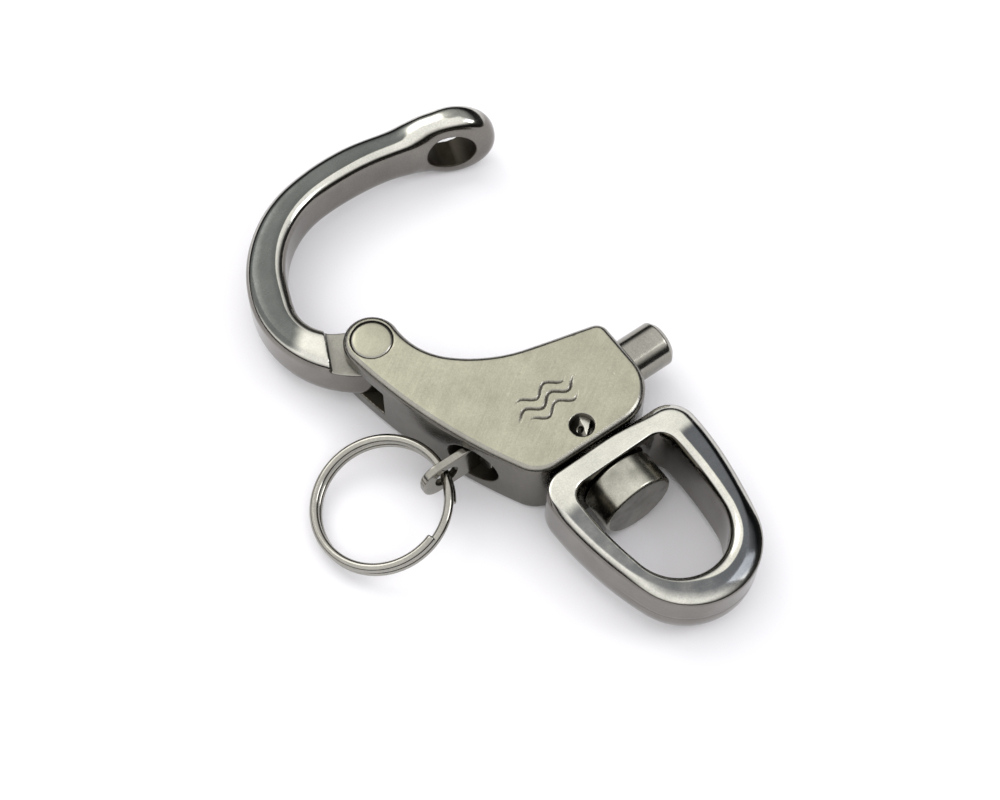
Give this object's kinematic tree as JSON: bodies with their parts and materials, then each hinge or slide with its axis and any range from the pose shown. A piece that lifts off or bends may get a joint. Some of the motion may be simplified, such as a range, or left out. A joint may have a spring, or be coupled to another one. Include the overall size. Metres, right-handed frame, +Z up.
{
  "type": "swivel-eye snap shackle",
  "caption": "Snap shackle with a hinged bow, a spring plunger released by a split ring, and a swivelling eye.",
  "frame": {"origin": "on the flat underside of the body, below the point where the plunger's axis crosses the swivel axis", "axes": "+X along the plunger towards its tip, +Y along the swivel axis from the eye towards the bow, +Z up through the thickness"},
  "size_m": [0.0689, 0.1054, 0.0142],
  "materials": {
    "body_steel": "satin, finely brushed across the flat faces, with polished edges",
    "bow_steel": "satin flat faces with polished inner and outer edges",
    "polished_steel": "polished",
    "spring_steel": "drawn wire",
    "pin_steel": "turned"
  },
  "bodies": {
    "body": {"body": "body_steel", "pivot_rivet": "body_steel", "swivel_pin": "pin_steel", "lock_pin": "pin_steel", "plunger_spring": "spring_steel"},
    "bow": {"bow": "bow_steel"},
    "plunger": {"plunger": "polished_steel"},
    "ring": {"split_ring": "polished_steel"},
    "eye": {"swivel_eye": "bow_steel"}
  },
  "joints": [
    {"name": "bow_hinge", "type": "hinge", "parent": "body", "child": "bow", "pos_m": [-0.0193, 0.0252, 0.007], "axis": [0, 0, 1], "range_deg": [-72.7, 46.8]},
    {"name": "plunger_slide", "type": "slide", "parent": "body", "child": "plunger", "axis": [-1, 0, 0], "range_m": [0, 0.0056], "stiffness_N_per_m": 400, "springref_m": -0.01, "deforming": ["plunger_spring"]},
    {"name": "ring_swing", "type": "hinge", "parent": "plunger", "child": "ring", "pos_m": [-0.0219, 0.00115, 0.0066], "axis": [0.2251, 0.9743, 0], "range_deg": [-40, 64]},
    {"name": "swivel", "type": "hinge", "parent": "body", "child": "eye", "pos_m": [0, -0.01355, 0.007], "axis": [0, 1, 0], "continuous": true}
  ]
}
